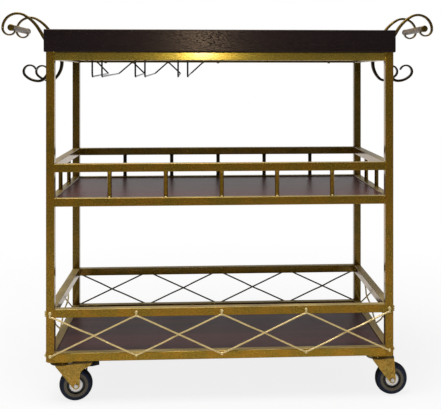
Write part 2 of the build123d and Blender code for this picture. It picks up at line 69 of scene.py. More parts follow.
LEG_LOW, LEG_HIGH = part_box("leg_rear_right")
TUBE = LEG_HIGH.x - LEG_LOW.x
HALF_WIDTH = LEG_HIGH.x
HALF_DEPTH = LEG_HIGH.y
LEG_X = HALF_WIDTH - TUBE / 2
LEG_Y = HALF_DEPTH - TUBE / 2
INNER_X = LEG_X - TUBE / 2
INNER_Y = LEG_Y - TUBE / 2
LOWER_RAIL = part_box("lower_rail_front")
LOWER_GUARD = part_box("lower_guard_front")
MIDDLE_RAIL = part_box("middle_rail_front")
MIDDLE_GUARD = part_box("middle_guard_front")
TOP_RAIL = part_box("top_rail_front")
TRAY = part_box("tray_rims")
FORK_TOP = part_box("front_left_fork")[1].z

# The lower gallery's rods and studs
ROD_RADIUS = 0.002
ROD_PEAK = LOWER_GUARD[0].z + 0.0023
ROD_FOOT = LOWER_RAIL[0].z + 0.0138
ROD_SHARPNESS = 0.998
ROD_HOP = 0.0038
ROD_HOP_LENGTH = 0.020
ROD_SIDES = 12
BAY_STEPS = 40
STUD_RADIUS = 0.004
STUD_PROUD = 0.00497
STUD_HEAD_DROP = 0.0083
STUD_FOOT_LIFT = 0.0125
NECK_RADIUS = 0.0021
NECK_FLARE = 0.00085
NECK_STEPS = 7

# The middle gallery's balusters
BALUSTER = 0.010
COLLAR = 0.0013
COLLAR_SPREAD = 0.0012
FOOT_BEAD = 0.0032
FOOT_BEAD_LIFT = 0.001

# The scroll handles: the same chain of arcs as the solids have
SCROLL_REACH = 0.1257
SCROLL_WIDTH = 0.012
SCROLL_BELLY = 0.0090
SCROLL_TIP = 0.0036
SCROLL_SPACER = 0.006
SCROLL_HEIGHT_ON_RAIL = 0.0097
SCROLL_HALF_SPREAD = 0.075
SCROLL_TIP_SHARE = 0.012
SPACER_HEIGHT = 0.012
# Each arc's radius as a share of the reach, and its turn in degrees. A turn of nought is
# a straight run of that length.
UPPER_SCROLL_SHARES = (
    (0.520, 30.7), (0.313, 0.0), (0.760, 29.3), (0.280, 120.0), (0.133, 90.0), (0.114, 80.0)
)
LOWER_SCROLL_SHARES = (
    (0.090, 0.0), (0.459, 45.0), (0.156, 45.0), (0.347, 45.0), (0.119, 45.0), (0.119, 90.0),
    (0.119, 76.0)
)
GRIP_RADIUS = 0.0075
GRIP_HALF = 0.095
GRIP_END_RADIUS = 0.006
CAP_LENGTH = 0.003
CAP_FLANGE = 0.0006
CAP_LIP = 0.0008
CAP_OVERLAP = 0.0002
GRIP_SIDES = 40

# The stemware rack
WIRE_RADIUS = 0.0020
SLOT_CENTRES = (-0.2855, -0.1875, -0.0895)
SLOT_PITCH = 0.098
WIRE_FRONT_HALF = 0.011
WIRE_REAR_HALF = 0.014
WIRE_DROP = 0.0373
WIRE_REAR_RISE = 0.007
WIRE_FRONT_INSET = 0.0015
WIRE_REAR_RUN = 0.027
WIRE_BEND = 0.008
WIRE_GAP = 0.0003
WIRE_WELD = 0.0034
WIRE_WELD_DROP = 0.0006

# The casters
WHEEL_SIDES = 96
BOLT_SIDES = 24
NUT_SIDES = 48
WHEEL_RADIUS = 0.038
AXLE_RADIUS = 0.003
SHANK_RADIUS = AXLE_RADIUS - 0.0002
FORK_OUTER_HALF = 0.0165
NUT_WIDTH = 0.0086
NUT_HEIGHT = 0.0035
CROWN_RADIUS = 0.0245
CROWN_BORE = 0.0186
CROWN_HEIGHT = 0.0046
CROWN_SINK = 0.0003
FORK_EDGE = 0.0007
PEDAL_EDGE = 0.0003

# The weld beads
WELD_RADIUS = 0.0011
WELD_RIPPLE = 0.18
WELD_RIPPLES = 31
WELD_INSET = 0.0002
WELD_SIDES = 72

# How finely balls, bends and the runs between them are divided
BALL_ROWS = 9
BALL_SIDES = 16
BALL_POLE = 0.12
ARC_STEPS = 8
RUN_STEPS = 6

# Smoothing: edges sharper than these angles, in degrees, stay sharp
SURFACE_SHARP = 40.0
EASED_SHARP = 50.0
EASED_FROM = 30.0

# The studio
FLOOR_TONE = 0.80
FLOOR_NEAR_WHITE = 0.84
FLOOR_HALF = 30.0
# The distances over which the floor turns white, and the depths over which it turns
# white in shiny things
FLOOR_FADE = (0.5, 1.6)
FLOOR_SHINE_DEPTHS = (-0.2, 0.8)
# The room's light in front and behind, the depths between which it changes, and the
# ceiling's light with the heights over which it comes in, all by direction
ROOM_LIGHTS = (0.15, 0.20)
ROOM_DEPTHS = (-0.7, 0.5)
CEILING = 0.55
CEILING_HEIGHTS = (0.35, 0.9)
# Two sweeps low round the room: the depths and the heights over which each comes in, and
# its light. The first is behind the object.
SWEEPS = ((0.80, 0.95, 0.34, 0.07, 1.0), (-0.80, -0.95, 0.30, 0.06, 0.33))
# Each lamp's name, place, target, size and power in watts
LAMPS = (("front_lamp", (-0.04, -2.15, 0.90), (0, 0, 0.6), 0.12, 2.0),
         ("overhead_lamp", (-0.35, -0.6, 2.5), (0, 0, 0.3), 1.6, 55.0))
CAMERA_PLACE = (-0.0495, -2.0484, 0.759)
CAMERA_YAW = -3.237
CAMERA_LENS = 65.56
CAMERA_SENSOR = 36.0
CAMERA_SHIFT = (-0.0571, -0.2986)

ALONG_X, ALONG_Y, UP = np.eye(3)


# Meshes: every new piece is one or more grids of points
def grid_faces(rows, columns, close_rows):
    """Quads of a grid whose rows are closed rings: point (i, j) with (i + 1, j),
    (i + 1, j + 1) and (i, j + 1)."""
    i, j = np.meshgrid(np.arange(rows if close_rows else rows - 1), np.arange(columns),
                       indexing="ij")
    i, j = i.ravel(), j.ravel()
    below, beside = (i + 1) % rows, (j + 1) % columns
    corners = (i * columns + j, below * columns + j, below * columns + beside,
               i * columns + beside)
    return np.stack(corners, axis=1)


def fan_faces(ring, centre):
    """Triangles from a closed ring of point numbers to its centre's number."""
    return np.stack([ring, np.roll(ring, -1), np.full(len(ring), centre)], axis=1)


class Surfaces:
    """Grids of points, gathered into one mesh. Each point may carry a pattern's pair of
    values, which becomes the piece's UV map."""

    def __init__(self):
        self.points = []
        self.pattern = []
        self.faces = []
        self.count = 0

    def add(self, grid, close_rows=False, pattern=None):
        """A grid of rows by columns. Its first and last rows meet, or each gets a fan."""
        rows, columns = grid.shape[:2]
        points = grid.reshape(-1, 3)
        if pattern is None:
            pattern = np.zeros((rows, columns, 2))
        pattern = pattern.reshape(-1, 2)
        faces = [grid_faces(rows, columns, close_rows)]
        if not close_rows:
            for row in (0, rows - 1):
                ring = row * columns + np.arange(columns)
                faces.append(fan_faces(ring, len(points)))
                points = np.vstack([points, points[ring].mean(axis=0)])
                pattern = np.vstack([pattern, pattern[ring].mean(axis=0)])
        for block in faces:
            self.faces += (block + self.count).tolist()
        self.points.append(points)
        self.pattern.append(pattern)
        self.count += len(points)

    def piece(self, name, material, slot, body=BODY, replaces=()):
        """The mesh object, with outward normals, on its body."""
        mesh = bpy.data.meshes.new(name)
        mesh.from_pydata(np.vstack(self.points).tolist(), [], self.faces)
        corner = np.empty(len(mesh.loops), int)
        mesh.loops.foreach_get("vertex_index", corner)
        layer = mesh.uv_layers.new(name="pattern")
        layer.data.foreach_set("uv", np.vstack(self.pattern)[corner].ravel())
        shape = bmesh.new()
        shape.from_mesh(mesh)
        bmesh.ops.recalc_face_normals(shape, faces=shape.faces)
        shape.to_mesh(mesh)
        shape.free()
        mesh.shade_smooth()
        mesh.set_sharp_from_angle(angle=math.radians(SURFACE_SHARP))
        finished(name, mesh, material, body, replaces)


def finished(name, mesh, material, body, replaces):
    """Put a mesh in the scene as a finished piece."""
    piece = bpy.data.objects.new(name, mesh)
    bpy.context.scene.collection.objects.link(piece)
    mesh.materials.clear()
    mesh.materials.append(material)
    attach(piece, body)
    if replaces:
        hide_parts(*replaces)
    return piece


def circle(count):
    """Even angles round a full turn."""
    return np.linspace(0, 2 * math.pi, count, endpoint=False)


def superellipse(count, power):
    """The two coordinates of a rounded square: cos a and sin a, each with its size to a
    power below one and its sign kept."""
    turn = circle(count)
    return [np.sign(way) * np.abs(way) ** power for way in (np.cos(turn), np.sin(turn))]


def spokes(first, second, sides):
    """Unit spokes round a centre: cos a times the first way plus sin a times the second."""
    turn = circle(sides)[:, None]
    return np.cos(turn) * first + np.sin(turn) * second


def unit(vectors):
    """Vectors brought to a length of one."""
    return vectors / np.linalg.norm(vectors, axis=-1, keepdims=True)


def tube_along(path, radius, across, sides):
    """A round tube: each path point plus radius times (cos a, sin a) in the plane square
    to the path. across is a direction that the path never runs along. radius may be one
    value for each point."""
    along = unit(np.gradient(path, axis=0))
    first = unit(across - (along @ across)[:, None] * along)
    second = np.cross(along, first)
    radius = np.broadcast_to(np.asarray(radius, float), (len(path),))[:, None, None]
    return path[:, None, :] + radius * spokes(first[:, None, :], second[:, None, :], sides)


def rounded_path(corners, radius):
    """Straight runs joined by tangent arcs: each arc's point is its centre plus the
    spherical blend of its two end spokes."""
    corners = [np.asarray(corner, float) for corner in corners]
    points = [corners[0][None]]
    last = corners[0]
    for before, corner, after in zip(corners, corners[1:], corners[2:]):
        came = unit(corner - before)
        goes = unit(after - corner)
        turn = math.acos(np.clip(came @ goes, -1, 1))
        back = radius * math.tan(turn / 2)
        start, end = corner - came * back, corner + goes * back
        centre = corner + unit(goes - came) * radius / math.cos(turn / 2)
        share = np.linspace(0, 1, RUN_STEPS + 1)[1:-1, None]
        points.append(last + share * (start - last))
        share = np.linspace(0, 1, ARC_STEPS + 1)[:, None]
        arc = (np.sin((1 - share) * turn) * (start - centre)
               + np.sin(share * turn) * (end - centre)) / math.sin(turn)
        points.append(centre + arc)
        last = end
    share = np.linspace(0, 1, RUN_STEPS + 1)[1:, None]
    points.append(last + share * (corners[-1] - last))
    return np.vstack(points)


def spun(profile, centre, axle, sides):
    """A surface of revolution: a profile of radius and place along the axle, turned
    about the axle. Its first row is the profile's first point."""
    axle = unit(np.asarray(axle, float))
    first = unit(np.cross(axle, UP if abs(axle[2]) < 0.9 else ALONG_X))
    ring = spokes(first, np.cross(axle, first), sides)
    return (np.asarray(centre, float) + profile[:, 0, None, None] * ring[None]
            + profile[:, 1, None, None] * axle)


def ball(centre, radius, stretch=(1, 1, 1)):
    """A sphere, stretched along the axes: latitude by longitude, from pole to pole."""
    down = np.linspace(BALL_POLE, math.pi - BALL_POLE, BALL_ROWS)[:, None]
    turn = circle(BALL_SIDES)[None, :]
    grid = np.stack([np.sin(down) * np.cos(turn), np.sin(down) * np.sin(turn),
                     np.cos(down) * np.ones_like(turn)], axis=-1)
    return np.asarray(centre, float) + radius * np.asarray(stretch, float) * grid


def turned(grid, quarter_turns):
    """Points turned about the cart's middle by quarter turns."""
    angle = quarter_turns * math.pi / 2
    turn = np.array([[math.cos(angle), math.sin(angle), 0],
                     [-math.sin(angle), math.cos(angle), 0], [0, 0, 1]])
    return grid @ turn


# Materials
def add(tree, kind, inputs=None, **settings):
    """A node with its settings. An input is a value, or a socket to link from."""
    made = tree.nodes.new(kind)
    for name, value in settings.items():
        setattr(made, name, value)
    for name, value in (inputs or {}).items():
        if isinstance(value, bpy.types.NodeSocket):
            tree.links.new(value, made.inputs[name])
        else:
            made.inputs[name].default_value = value
    return made


def linear(red, green, blue):
    """A colour given in 8-bit screen values, as the shader's linear values."""
    def channel(value):
        value = value / 255
        return value / 12.92 if value <= 0.04045 else ((value + 0.055) / 1.055) ** 2.4
    return (channel(red), channel(green), channel(blue), 1.0)


def remap(tree, value, low, high, low_out=0.0, high_out=1.0):
    """A value from low to high, carried over to the range from low_out to high_out."""
    return add(tree, "ShaderNodeMapRange", {
        "Value": value, "From Min": low, "From Max": high, "To Min": low_out,
        "To Max": high_out}).outputs["Result"]


def maths(tree, operation, *values, clamp=False):
    """One to three values, put through an operation by the node's own name for it."""
    return add(tree, "ShaderNodeMath", dict(enumerate(values)), operation=operation,
               use_clamp=clamp).outputs[0]


def noise(tree, place, scale, detail, roughness=0.5, distortion=0.0):
    """Cloudy noise round a half."""
    return add(tree, "ShaderNodeTexNoise", {
        "Vector": place, "Scale": scale, "Detail": detail, "Roughness": roughness,
        "Distortion": distortion}).outputs["Fac"]


def mapped(tree, place, **settings):
    """Coordinates that are scaled or turned."""
    return add(tree, "ShaderNodeMapping", {"Vector": place, **settings}).outputs["Vector"]


def axes(tree, vector):
    """A vector's X, Y and Z."""
    return add(tree, "ShaderNodeSeparateXYZ", {"Vector": vector}).outputs


def mix(tree, share, first, second):
    """A colour mix. The node's colour sockets are its seventh and eighth."""
    return add(tree, "ShaderNodeMix", {0: share, 6: first, 7: second},
               data_type="RGBA").outputs[2]


def new_group(name, inputs, outputs):
    """A shader node group with a vector and float inputs, and float outputs."""
    group = bpy.data.node_groups.new(name, "ShaderNodeTree")
    group.interface.new_socket("Vector", in_out="INPUT", socket_type="NodeSocketVector")
    for way, labels in (("INPUT", inputs), ("OUTPUT", outputs)):
        for label in labels:
            group.interface.new_socket(label, in_out=way, socket_type="NodeSocketFloat")
    start = add(group, "NodeGroupInput")
    end = add(group, "NodeGroupOutput")
    return group, start.outputs, end.inputs


def mottle_group():
    """Soft blotches and fine speckle, both from 0 to 1 with the middle at a half."""
    group, given, made = new_group("mottle", ("Blotch Scale", "Speckle Scale"),
                                   ("Blotch", "Speckle"))
    blotch = noise(group, given["Vector"], given["Blotch Scale"], 5.0, 0.6)
    speckle = noise(group, given["Vector"], given["Speckle Scale"], 2.0, 0.6)
    group.links.new(blotch, made["Blotch"])
    group.links.new(speckle, made["Speckle"])
    return group


def edge_wear_and_highlight_group():
    """A mask along outer edges, for paint wear and for painted highlight where edges catch
    the light: one less the match of the true and the eased normal.
    """
    group, given, made = new_group("edge_wear_and_highlight", ("Width", "Amount"), ("Mask",))
    eased = add(group, "ShaderNodeBevel", {"Radius": given["Width"]}, samples=4)
    true = add(group, "ShaderNodeNewGeometry")
    match = add(group, "ShaderNodeVectorMath", {0: eased.outputs["Normal"],
                                                1: true.outputs["Normal"]},
                operation="DOT_PRODUCT")
    edge = remap(group, match.outputs["Value"], 0.995, 0.85)
    edge_wear_and_light = maths(group, "MULTIPLY", edge, noise(group, given["Vector"], 90.0, 3.0))
    amount = maths(group, "MULTIPLY", edge_wear_and_light, given["Amount"], clamp=True)
    group.links.new(amount, made["Mask"])
    return group


def dirt_and_top_light_group():
    """A thin layer on faces that look up, broken by noise: fine dirt, and painted light
    from above.
    """
    group, given, made = new_group("dirt_and_top_light", ("Amount",), ("Mask",))
    geometry = add(group, "ShaderNodeNewGeometry")
    up = remap(group, axes(group, geometry.outputs["Normal"])["Z"], 0.5, 1.0)
    laid = maths(group, "MULTIPLY", up, noise(group, given["Vector"], 9.0, 5.0, 0.65))
    amount = maths(group, "MULTIPLY", laid, given["Amount"], clamp=True)
    group.links.new(amount, made["Mask"])
    return group


def grain_group():
    """Straight wood grain along X: bands of stretched noise, and fine dark pores."""
    group, given, made = new_group("wood_grain", (), ("Bands", "Pores"))
    long_way = mapped(group, given["Vector"], Scale=(1.6, 26.0, 26.0))
    bands = noise(group, long_way, 1.3, 6.0, 0.6, 0.6)
    fine = mapped(group, given["Vector"], Scale=(220.0, 900.0, 900.0))
    pores = remap(group, noise(group, fine, 1.0, 3.0, 0.7), 0.52, 0.68)
    group.links.new(bands, made["Bands"])
    group.links.new(pores, made["Pores"])
    return group


GROUPS = {"mottle": mottle_group(), "edge_wear_and_highlight": edge_wear_and_highlight_group(), "dirt_and_top_light": dirt_and_top_light_group(),
          "wood_grain": grain_group()}


def use(tree, name, **inputs):
    """The outputs of one of the shared groups, placed in a material."""
    inputs = {label.replace("_", " "): value for label, value in inputs.items()}
    return add(tree, "ShaderNodeGroup", inputs, node_tree=GROUPS[name]).outputs


def new_material(name, **surface):
    """A material with its Principled BSDF and the object's own coordinates."""
    material = bpy.data.materials.new(name)
    material.use_nodes = True
    tree = material.node_tree
    shader = tree.nodes["Principled BSDF"]
    for label, value in surface.items():
        shader.inputs[label.replace("_", " ")].default_value = value
    place = add(tree, "ShaderNodeTexCoord")
    return material, tree, shader, place.outputs["Object"]


def dress(tree, shader, colour, rough, height=None, distance=0.0, strength=0.0):
    """Link a surface's colour and roughness, and let a height raise it."""
    tree.links.new(colour, shader.inputs["Base Color"])
    tree.links.new(rough, shader.inputs["Roughness"])
    if height is not None:
        raised = add(tree, "ShaderNodeBump", {"Height": height, "Distance": distance,
                                              "Strength": strength})
        tree.links.new(raised.outputs["Normal"], shader.inputs["Normal"])


# Colours are given in 8-bit screen values.
def gold_paint(name, base, olive, bright, metal=0.8, edge_wear_and_light=0.8, roughness=(0.17, 0.20),
               blotch=24.0, dirt_and_lit_tops=1.2, painted_shade_heights=None, coat=(0.16, 0.06)):
    """Antique gold spray paint: blotches between a brown gold and an olive one, metal
    flake, brighter edges (paint wear, and painted highlight where edges catch the light),
    a pale layer on faces that look up (fine dirt, and painted light from above), and,
    where two heights are given, painted shade between them: none at the first, dark from
    the second on."""
    material, tree, shader, place = new_material(
        name, Specular_IOR_Level=0.1, Coat_Weight=coat[0], Coat_Roughness=coat[1])
    base, olive, bright = (linear(*tone) for tone in (base, olive, bright))
    spots = use(tree, "mottle", Vector=place, Blotch_Scale=blotch, Speckle_Scale=320.0)
    colour = mix(tree, remap(tree, spots["Blotch"], 0.42, 0.58), base, olive)
    flake = remap(tree, spots["Speckle"], 0.42, 0.70, 0, 0.5)
    colour = mix(tree, flake, colour, bright)
    # Brighter edges: paint wear, and painted highlight where edges catch the light.
    edge = use(tree, "edge_wear_and_highlight", Vector=place, Width=0.0018, Amount=edge_wear_and_light)
    colour = mix(tree, edge["Mask"], colour, bright)
    # A pale layer on faces that look up: fine dirt, and painted light from above.
    dirt_and_lit_tops = use(tree, "dirt_and_top_light", Vector=place, Amount=dirt_and_lit_tops)["Mask"]
    colour = mix(tree, dirt_and_lit_tops, colour, linear(206, 184, 122))
    # Painted shade: darker between two heights.
    if painted_shade_heights is not None:
        painted_shade = remap(tree, axes(tree, place)["Z"], *painted_shade_heights, 0.0, 0.85)
        colour = mix(tree, painted_shade, colour, linear(18, 14, 9))
    tree.links.new(remap(tree, dirt_and_lit_tops, 0, 1, metal, 0.2 * metal), shader.inputs["Metallic"])
    rough = maths(tree, "MULTIPLY_ADD", dirt_and_lit_tops, 0.5,
                  remap(tree, spots["Blotch"], 0.3, 0.7, *roughness), clamp=True)
    dress(tree, shader, colour, rough, spots["Speckle"], 0.00011, 0.5)
    return material


def along_the_rims(tree, place, mitre):
    """The grain's coordinates on a mitred frame: turned a quarter past the mitres, where
    the distance across the frame less that along it is more than at its corner."""
    split = axes(tree, place)
    across, along = (maths(tree, "ABSOLUTE", split[axis]) for axis in "XY")
    side = maths(tree, "GREATER_THAN", maths(tree, "SUBTRACT", across, along), mitre)
    quarter = mapped(tree, place, Rotation=(0, 0, math.pi / 2))
    return add(tree, "ShaderNodeMix", {0: side, 4: place, 5: quarter},
               data_type="VECTOR").outputs[1]


def stained_wood(name, dark, light, pore, roughness, shine, tint=(1, 1, 1, 1), mitre=None):
    """Stained wood: bands of two tones along the grain, and dark pores."""
    material, tree, shader, place = new_material(name, Specular_IOR_Level=shine,
                                                 Specular_Tint=tint)
    dark, light, pore = (linear(*tone) for tone in (dark, light, pore))
    along = place if mitre is None else along_the_rims(tree, place, mitre)
    grain = use(tree, "wood_grain", Vector=along)
    colour = mix(tree, remap(tree, grain["Bands"], 0.3, 0.7), dark, light)
    colour = mix(tree, remap(tree, grain["Pores"], 0, 1, 0, 0.55), colour, pore)
    edge = use(tree, "edge_wear_and_highlight", Vector=place, Width=0.0015, Amount=0.25)
    colour = mix(tree, edge["Mask"], colour, light)
    rough = remap(tree, grain["Pores"], 0, 1, *roughness)
    dress(tree, shader, colour, rough, grain["Pores"], -0.00012, 0.6)
    return material


def plated_steel(name, colour, roughness):
    """Plated steel with soft brushing and a little tarnish."""
    material, tree, shader, place = new_material(name, Metallic=1.0)
    clean = linear(*colour)
    dull = tuple(0.6 * value for value in clean[:3]) + (1.0,)
    spots = use(tree, "mottle", Vector=place, Blotch_Scale=120.0, Speckle_Scale=1500.0)
    tone = mix(tree, remap(tree, spots["Blotch"], 0.4, 0.8, 0, 0.5), clean, dull)
    rough = remap(tree, spots["Speckle"], 0.3, 0.7, roughness, roughness + 0.15)
    dress(tree, shader, tone, rough)
    return material


def banded_by_radius(name, bands, roughness, shine):
    """A wheel's finish, in rings of colour. The pattern's second value is the radius, as
    a share of the wheel's. A band is the share where it starts and its colour."""
    material, tree, shader, place = new_material(name, Specular_IOR_Level=shine)
    pattern = add(tree, "ShaderNodeUVMap", uv_map="pattern")
    ramp = add(tree, "ShaderNodeValToRGB", {"Fac": axes(tree, pattern.outputs["UV"])["Y"]})
    stops = ramp.color_ramp.elements
    while len(stops) < len(bands):
        stops.new(0.5)
    for stop, (share, colour) in zip(stops, bands):
        stop.position = share
        stop.color = linear(*colour)
    spots = use(tree, "mottle", Vector=place, Blotch_Scale=60.0, Speckle_Scale=1100.0)
    shade = remap(tree, spots["Blotch"], 0.3, 0.7, 0.0, 0.05)
    colour = mix(tree, shade, ramp.outputs["Color"], linear(120, 112, 98))
    rough = remap(tree, spots["Speckle"], 0.3, 0.7, *roughness)
    dress(tree, shader, colour, rough, spots["Speckle"], 0.0001, 0.4)
    return material


def moulded_plastic(name, colour, roughness):
    """Moulded plastic with a fine grain and faint scuffs."""
    material, tree, shader, place = new_material(name, Specular_IOR_Level=0.2)
    spots = use(tree, "mottle", Vector=place, Blotch_Scale=70.0, Speckle_Scale=1600.0)
    edge = use(tree, "edge_wear_and_highlight", Vector=place, Width=0.001, Amount=0.25)
    tone = mix(tree, remap(tree, spots["Blotch"], 0.5, 0.9, 0, 0.25), linear(*colour),
               linear(56, 54, 52))
    tone = mix(tree, edge["Mask"], tone, linear(90, 88, 85))
    rough = remap(tree, spots["Speckle"], 0.3, 0.7, roughness, roughness + 0.15)
    dress(tree, shader, tone, rough, spots["Speckle"], 0.0001, 0.5)
    return material


GOLD = gold_paint("antique_gold", (127, 86, 20), (107, 80, 20), (188, 155, 42))
GOLD_OLIVE = gold_paint("antique_gold_olive", (138, 107, 24), (122, 99, 24),
                        (206, 182, 64), coat=(0.46, 0.10))
# A lighter copy of the gold for the lower front rail: painted light from the floor's
# reflection.
GOLD_LOW_LIT = gold_paint("antique_gold_low_painted_light", (142, 99, 24), (120, 92, 24), (204, 168, 52))
# A darker copy of the gold for the rear frame, the side balusters and the caster crowns:
# painted shade.
GOLD_SHADED = gold_paint("antique_gold_painted_shade", (96, 67, 17), (80, 61, 17), (152, 126, 40))
# The casters' gold, with painted shade over each fork's top 6 mm, darkest in its top 3 mm,
# under the plate.
GOLD_FORKS = gold_paint("caster_gold", (156, 114, 40), (134, 104, 34), (212, 182, 92),
                        metal=0.7, blotch=60.0,
                        painted_shade_heights=(FORK_TOP - 0.0060, FORK_TOP - 0.0030))
# A dark copy of the gold for the scrolls, with more painted shade from 0.835 m down,
# darkest below 0.805 m.
GOLD_SCROLLS_SHADED = gold_paint("scroll_gold_painted_shade", (66, 46, 13), (50, 38, 12), (176, 142, 46),
                          edge_wear_and_light=1.2, dirt_and_lit_tops=0.3, painted_shade_heights=(0.835, 0.805))
# A greyed, less metallic copy of the gold for the grips: painted reflection.
GOLD_GRIPS_REFLECTING = gold_paint("grip_gold_painted_reflection", (120, 94, 62), (86, 68, 45), (166, 138, 98),
                        metal=0.3, roughness=(0.32, 0.54), blotch=110.0, dirt_and_lit_tops=0.25)
# A darker copy of the gold for the grip caps: painted shade.
GOLD_CAPS_SHADED = gold_paint("cap_gold_painted_shade", (78, 60, 17), (62, 50, 15), (138, 112, 36), dirt_and_lit_tops=0.1)
# A paler, less metallic copy of the gold for the front and side rods: painted light.
GOLD_RODS_LIT = gold_paint("gallery_rod_gold_painted_light", (216, 186, 122), (204, 178, 116),
                       (242, 226, 186), metal=0.4)
# A near-black copy of the gold for the rear rods and rear balusters: painted shade.
GOLD_DEEP_SHADE = gold_paint("gold_painted_deep_shade", (38, 27, 12), (28, 22, 12), (76, 60, 32),
                       metal=0.6, edge_wear_and_light=0.4)
# A pale copy of the gold for the studs and the balusters' foot beads: painted highlight.
GOLD_GLINT = gold_paint("stud_gold_painted_highlight", (216, 192, 126), (206, 184, 120), (238, 224, 180),
                        metal=0.4)
# A near-black copy of the gold for the rack's wires: painted shade.
GOLD_WIRES_SHADED = gold_paint("rack_wire_gold_painted_shade", (16, 12, 9), (12, 10, 8), (44, 34, 22),
                        metal=0.3, edge_wear_and_light=0.3)
TRAY_WOOD = stained_wood("espresso_wood", (14, 9, 15), (24, 16, 23), (9, 6, 10),
                         (0.20, 0.31), 0.28, tint=(1.0, 0.70, 0.44, 1.0),
                         mitre=TRAY[1].x - TRAY[1].y)
TRAY_BASE_WOOD = stained_wood("espresso_panel", (16, 10, 12), (38, 24, 25), (9, 6, 8),
                              (0.32, 0.42), 0.40)
SHELF_WOOD = stained_wood("shelf_walnut", (60, 28, 29), (92, 46, 45), (30, 14, 15),
                          (0.36, 0.46), 0.36)
# A lighter copy of the shelf walnut for the middle shelf: painted sheen.
SHELF_WOOD_SHEEN = stained_wood("middle_shelf_walnut_painted_sheen", (76, 35, 34), (112, 56, 51),
                                 (38, 17, 17), (0.34, 0.44), 0.50)
ZINC = plated_steel("zinc_steel", (112, 104, 90), 0.40)
NICKEL = plated_steel("nickel_plate", (212, 209, 202), 0.26)
RUBBER = banded_by_radius(
    "tyre_rubber",
    ((0.0, (9, 9, 10)), (0.54, (9, 9, 10)), (0.56, (94, 87, 72)), (0.70, (98, 91, 79)),
     (0.75, (20, 27, 40)), (0.82, (14, 28, 54)), (0.95, (6, 10, 17))), (0.62, 0.78), 0.2)
NYLON = banded_by_radius(
    "wheel_nylon", ((0.0, (246, 244, 236)), (0.385, (250, 248, 242)), (0.40, (9, 9, 9))),
    (0.34, 0.46), 0.5)
PEDAL_PLASTIC = moulded_plastic("pedal_plastic", (10, 9, 10), 0.50)

# The finish of each slot, and of the nodes that differ from their slot's: the top rails'
# gold is more olive, the lower front rail's is painted lighter (painted light), the rear
# frame's is painted darker (painted shade), the middle shelf's wood is painted lighter
# (painted sheen), and the tray's base has its grain one way
FINISHES = {
    "gold_paint": GOLD, "tray_wood": TRAY_WOOD, "shelf_wood": SHELF_WOOD, "steel": ZINC,
    "chrome": NICKEL, "hub_plastic": NYLON, "tread_rubber": RUBBER,
    "pedal_plastic": PEDAL_PLASTIC,
}
NODE_FINISHES = {"top_rail_front": GOLD_OLIVE, "top_rail_sides": GOLD_OLIVE,
                 "lower_rail_front": GOLD_LOW_LIT, "tray_base": TRAY_BASE_WOOD,
                 "middle_shelf_board": SHELF_WOOD_SHEEN}
# The rear frame takes the darker gold: painted shade.
for rear_node in ("leg_rear_left", "leg_rear_right", "lower_rail_rear", "lower_guard_rear",
                  "middle_rail_rear", "middle_guard_rear", "top_rail_rear"):
    NODE_FINISHES[rear_node] = GOLD_SHADED

for entry in frame["record"]["subparts"]:
    node = frame["nodes"][entry["node"]]
    material = NODE_FINISHES.get(entry["node"], FINISHES[entry["material_slot"]])
    if not node.material_slots:
        node.data.materials.append(material)
    for slot in node.material_slots:
        slot.material = material


# The lower gallery
def gallery_rods(half_span, bays, wall, quarter_turns):
    """The two zigzag rods of one wall. A rod's height is the middle plus the swing times
    asin(k cos(pi u / pitch)) / asin(k), a triangle wave with rounded peaks. At each
    crossing the second rod steps behind the first by a bell curve."""
    pitch = 2 * half_span / bays
    u = np.linspace(-half_span, half_span, bays * BAY_STEPS + 1)
    phase = (u + half_span) / pitch
    middle = (ROD_PEAK + ROD_FOOT) / 2
    swing = (ROD_PEAK - ROD_FOOT) / 2
    wave = np.arcsin(ROD_SHARPNESS * np.cos(math.pi * phase)) / math.asin(ROD_SHARPNESS)
    from_crossing = (phase % 1 - 0.5) * pitch
    hop = ROD_HOP * np.exp(-((from_crossing / ROD_HOP_LENGTH) ** 2))
    for sense in (-1, 1):
        behind = hop if sense > 0 else 0 * hop
        path = np.stack([u, behind - wall - ROD_RADIUS, middle + sense * swing * wave],
                        axis=1)
        yield turned(tube_along(path, ROD_RADIUS, ALONG_Y, ROD_SIDES), quarter_turns)


def gallery_studs(half_span, bays, wall, quarter_turns):
    """Round studs: a ball on each foot of the rods, and a ball with a tapered neck over
    each peak."""
    head_top = LOWER_GUARD[1].z - STUD_HEAD_DROP
    head_foot = LOWER_RAIL[0].z + STUD_FOOT_LIFT
    z = np.linspace(ROD_PEAK - ROD_RADIUS / 2, head_top, NECK_STEPS)
    flare = np.cos(np.linspace(0, 2 * math.pi, NECK_STEPS)) ** 2
    for u in np.linspace(-half_span, half_span, bays + 1):
        for head in (head_top, head_foot):
            centre = (u, -wall - STUD_PROUD + STUD_RADIUS, head)
            yield turned(ball(centre, STUD_RADIUS), quarter_turns)
        path = np.stack([0 * z + u, 0 * z - wall - ROD_RADIUS, z], axis=1)
        neck = tube_along(path, NECK_RADIUS + NECK_FLARE * flare, ALONG_X, ROD_SIDES)
        yield turned(neck, quarter_turns)


# Each wall's half span, number of bays, distance from the middle and quarter turns
WALLS = ((LEG_X, 4, HALF_DEPTH, 0), (LEG_X, 4, HALF_DEPTH, 2), (LEG_Y, 2, HALF_WIDTH, 1),
         (LEG_Y, 2, HALF_WIDTH, 3))
front_rods, rear_rods, side_rods, studs = (Surfaces() for _ in range(4))
for half_span, bays, wall, quarter_turns in WALLS:
    rods = {0: front_rods, 2: rear_rods}.get(quarter_turns, side_rods)
    for grid in gallery_rods(half_span, bays, wall, quarter_turns):
        rods.add(grid)
    for grid in gallery_studs(half_span, bays, wall, quarter_turns):
        studs.add(grid)
